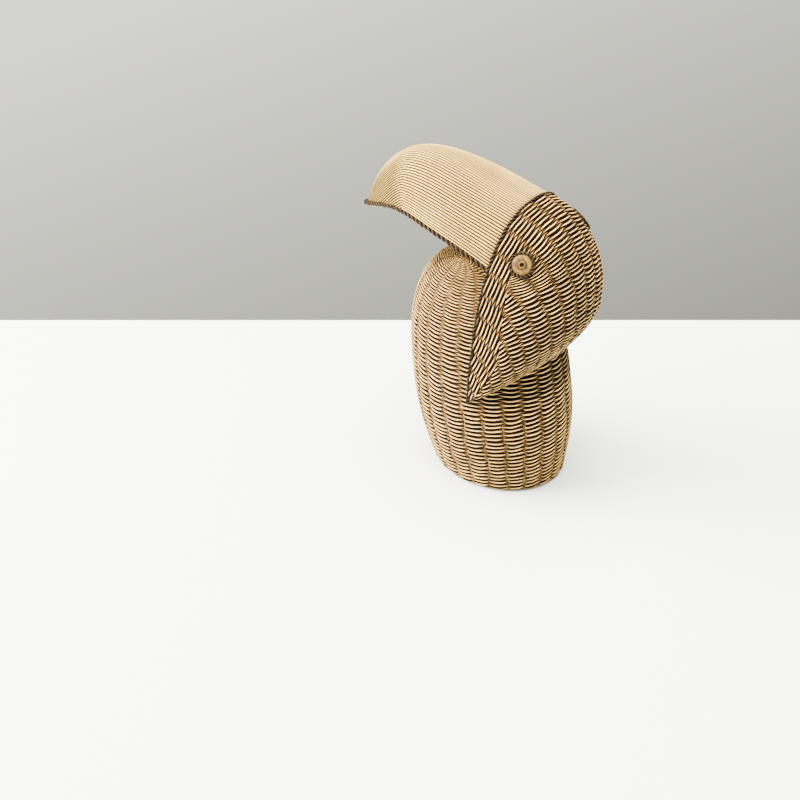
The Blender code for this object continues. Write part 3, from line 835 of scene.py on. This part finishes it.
def makeRope(name, path, guide, radius, lay, closed=False):
    look = ropeLook
    count = round(np.linalg.norm(np.diff(path, axis=0), axis=1).sum() / look["step"])
    path, length = evenAlong(path, count + 1)
    if closed:
        lay = length / round(length / lay)
        along = np.roll(path[:-1], -1, axis=0) - np.roll(path[:-1], 1, axis=0)
        along = np.concatenate([along, along[:1]])
    else:
        along = np.gradient(path, axis=0)
    along /= np.linalg.norm(along, axis=1, keepdims=True)
    side = np.cross(along, guide)
    side /= np.linalg.norm(side, axis=1, keepdims=True)
    up = np.cross(along, side)
    turn = np.linspace(0, math.tau, look["sides"] + 1)[None, :]
    twist = (np.linspace(0, length, count + 1) / lay * math.tau)[:, None]
    if not closed:
        # Pressed on by hand, so never quite straight or even
        wave = np.linspace(0, length * look["waves"], count + 1)
        sway, lift = softNoise(wave, 0.0, 1)[:, None], softNoise(wave, 0.0, 2)[:, None]
        path = path + look["wobble"] * (sway * side + lift * up)
        radius = (radius * (1 + look["uneven"] * softNoise(wave * 0.7, 0.0, 5)))[:, None]
    lobe, strand = look["lobe"] * radius, look["strand"] * radius
    size = lobe * np.abs(np.cos(turn)) + np.sqrt(np.maximum(strand**2 - (lobe * np.sin(turn)) ** 2, 0))
    spin = turn + twist
    points = path[:, None, :] + (size * np.cos(spin))[..., None] * side[:, None, :]
    points = points + (size * np.sin(spin))[..., None] * up[:, None, :]
    clean = smoothStep((size / radius - 0.45) / 0.55) + 0 * twist
    strandMap = (twist / math.tau + 0 * turn, turn * 0.6 + 0 * twist)
    ends = []
    if not closed:
        first, last = Vector(path[0]), Vector(path[-1])
        ends = [(first, lambda edge: (edge.verts[0].co - first).length < 2 * look["radius"]),
                (last, lambda edge: (edge.verts[0].co - last).length < 2 * look["radius"])]
    finishRope(name, points, clean, strandMap, ends)


ropeMaterial = caneMaterial("ropeBrown", ropeLook["paint"])
browLine = archPoints(browAngle, np.linspace(0, 1, 1201))
makeRope("browRope", browLine, np.array([0.0, math.sin(browAngle), -math.cos(browAngle)]),
         ropeLook["browRadius"], ropeLook["browLay"])
leftRim = np.array([rimPoint(share) for share in np.linspace(0, beakLook["endShare"], 400)])
rimLine = np.concatenate([leftRim, (leftRim * np.array([-1.0, 1.0, 1.0]))[::-1]])
makeRope("rimRope", rimLine, np.array([0.0, 0.0, 1.0]), ropeLook["radius"], ropeLook["lay"])

# The rim's rope ends in a small knob at the beak's tip
knobLook = {
    "place": (0.0, -0.0996, 0.1444), "radius": 0.00165, "rings": 16, "sides": 28, "lumps": 0.10,
    "clean": 0.55, "cleanSpread": 0.35,
}


def makeKnob():
    look = knobLook
    up = np.linspace(0, math.pi, look["rings"] + 1)[:, None]
    turn = np.linspace(0, math.tau, look["sides"] + 1)[None, :]
    out = np.stack([np.sin(up) * np.cos(turn), np.sin(up) * np.sin(turn), np.cos(up) + 0 * turn], axis=-1)
    lump = 1 + look["lumps"] * softNoise(3.5 * out[..., 0], 3.5 * out[..., 2] + 2.0 * out[..., 1], 2)
    points = np.array(look["place"]) + look["radius"] * lump[..., None] * out
    clean = look["clean"] + look["cleanSpread"] * softNoise(5 * out[..., 0], 5 * out[..., 2], 7)
    finishRope("tipKnob", points, clean, (turn + 0 * up, up + 0 * turn), [])


makeKnob()


# The eyes, with the values that stand before the head's
def eyePlace(share):
    # The eye's middle on the head, and the direction that it looks in
    turn, small = eyeLook["turn"], 0.004
    spot = archPoints(turn, np.array([share - small, share, share + small]))
    middle = np.array([share])
    back = archPoints(turn - small, middle)[0] - archPoints(turn + small, middle)[0]
    normal = np.cross(back, spot[2] - spot[0])
    return spot[1], normal / np.linalg.norm(normal)


def eyeMaterial():
    look = eyeLook
    material, tree, shader = startMaterial("eyeOchre")
    place = tree.nodes.new("ShaderNodeTexCoord").outputs["Object"]
    patch = addNoise(tree, place, look["patchScale"], 4.0)
    wash = addMath(tree, "MULTIPLY", addRead(tree, "wash"), look["washShare"])
    ramp = addRamp(tree, look["stops"])
    tree.links.new(addMath(tree, "MULTIPLY_ADD", patch, look["creep"], wash), ramp.inputs["Fac"])
    tree.links.new(ramp.outputs["Color"], shader.inputs["Base Color"])
    shader.inputs["Roughness"].default_value = look["roughness"]
    shader.inputs["Specular IOR Level"].default_value = look["sheen"]
    return material


eyePaint = eyeMaterial()


def makeEye(name, share):
    look = eyeLook
    point, normal = eyePlace(share)
    axis = Vector(normal)
    side = axis.cross(Vector((0.0, 0.0, 1.0))).normalized()
    profile = [(look[size] * part, look["proud"] * height, wash)
               for size, part, height, wash in look["profile"]]
    profile += [(profile[-1][0], look["foot"], 0.1), (0.0, look["foot"], 0.1)]
    mesh = bmesh.new()
    washLayer = mesh.verts.layers.float.new("wash")
    verts = []
    for radius, height, wash in profile:
        vert = mesh.verts.new(Vector(point) + side * radius + axis * height)
        vert[washLayer] = wash
        verts.append(vert)
    edges = [mesh.edges.new(pair) for pair in zip(verts, verts[1:])]
    bmesh.ops.spin(mesh, geom=verts + edges, cent=Vector(point), axis=axis, angle=math.tau,
                   steps=look["steps"], use_merge=True)
    bmesh.ops.remove_doubles(mesh, verts=mesh.verts, dist=weldGap)
    finishWith(finishPiece(name + "Disc", mesh), eyePaint)
    turn = np.linspace(0, math.tau, 400)
    up = np.cross(np.array(side), normal)
    radius = look["radius"] + look["rope"] * look["ropeOut"]
    ring = point + radius * (np.cos(turn)[:, None] * np.array(side) + np.sin(turn)[:, None] * up)
    ring = ring + normal * look["rope"] * look["ropeRise"]
    makeRope(name + "Rope", ring, normal, look["rope"], look["ropeLay"], closed=True)


makeEye("leftEye", eyeLook["share"])
makeEye("rightEye", 1 - eyeLook["share"])

# Stage: a pale table top that ends behind the bird, soft light and the camera
stageLook = {
    "lens": 98.73, "cameraPlace": (0.9038, 0.5815, 0.8069), "cameraAim": (-0.6585, -0.4784, -0.5810),
    "sensorWidth": 36.0, "nearest": 0.05, "farthest": 20.0, "tableBehind": 0.149, "tableSize": 3.0,
    "tableColour": (0.84, 0.90, 0.95), "tableRoughness": 0.6, "wallTint": (1.0, 1.0, 0.86),
    "wallRise": (-1.82, -4.56, 5.82), "wallStart": -0.90, "wallTop": 0.7,
    "lampColour": (1.0, 0.93, 0.80), "lampAim": (0, 0, 0.1),
    "lamps": [("key", 275.0, (0.75, -1.25, 0.95), 1.3), ("fill", 4.0, (1.3, 1.3, 0.35), 1.6),
              ("top", 180.0, (0.0, 0.0, 1.75), 1.4)],
}


def aimObject(made, place, aim):
    made.location = place
    made.rotation_mode = "QUATERNION"
    made.rotation_quaternion = aim.to_track_quat("-Z", "Y")


def makeTable():
    look = stageLook
    aim = Vector(look["cameraAim"]).normalized()
    flat = Vector((aim.x, aim.y, 0.0)).normalized()
    mesh = bmesh.new()
    bmesh.ops.create_grid(mesh, x_segments=1, y_segments=1, size=look["tableSize"])
    turned = flat.to_track_quat("Y", "Z")
    shift = flat * (look["tableSize"] - look["tableBehind"])
    for vert in mesh.verts:
        vert.co = turned @ Vector((vert.co.x, vert.co.y, 0.0)) - shift
    bmesh.ops.recalc_face_normals(mesh, faces=mesh.faces)
    for face in mesh.faces:
        if face.normal.z < 0:
            face.normal_flip()
    data = bpy.data.meshes.new("tableTop")
    mesh.to_mesh(data)
    mesh.free()
    table = addObject("tableTop", data)
    material, _, shader = startMaterial("tableWhite")
    shader.inputs["Base Color"].default_value = (*look["tableColour"], 1.0)
    shader.inputs["Roughness"].default_value = look["tableRoughness"]
    data.materials.append(material)


def makeWall():
    look = stageLook
    world = bpy.data.worlds.new("studioWall")
    bpy.context.scene.world = world
    world.use_nodes = True
    # The wall is paler higher up and to the left
    tree = world.node_tree
    back = tree.nodes["Background"]
    back.inputs["Color"].default_value = (*look["wallTint"], 1.0)
    rise = tree.nodes.new("ShaderNodeVectorMath")
    rise.operation = "DOT_PRODUCT"
    tree.links.new(tree.nodes.new("ShaderNodeTexCoord").outputs["Generated"], rise.inputs[0])
    rise.inputs[1].default_value = look["wallRise"]
    level = addMath(tree, "ADD", rise.outputs["Value"], look["wallStart"])
    level = addMath(tree, "MINIMUM", level, look["wallTop"])
    tree.links.new(addMath(tree, "POWER", 2.0, level), back.inputs["Strength"])


def makeLamps():
    look = stageLook
    for name, power, place, size in look["lamps"]:
        lamp = bpy.data.lights.new(name, "AREA")
        lamp.energy = power
        lamp.color = look["lampColour"]
        lamp.size = size
        aimObject(addObject(name + "Light", lamp), place, Vector(look["lampAim"]) - Vector(place))


def makeCamera():
    look = stageLook
    camera = bpy.data.cameras.new("photoCamera")
    camera.lens = look["lens"]
    camera.sensor_width = look["sensorWidth"]
    camera.clip_start = look["nearest"]
    camera.clip_end = look["farthest"]
    viewer = addObject("photoCamera", camera)
    aimObject(viewer, look["cameraPlace"], Vector(look["cameraAim"]).normalized())
    bpy.context.scene.camera = viewer


makeTable()
makeWall()
makeLamps()
makeCamera()
print("stage set")
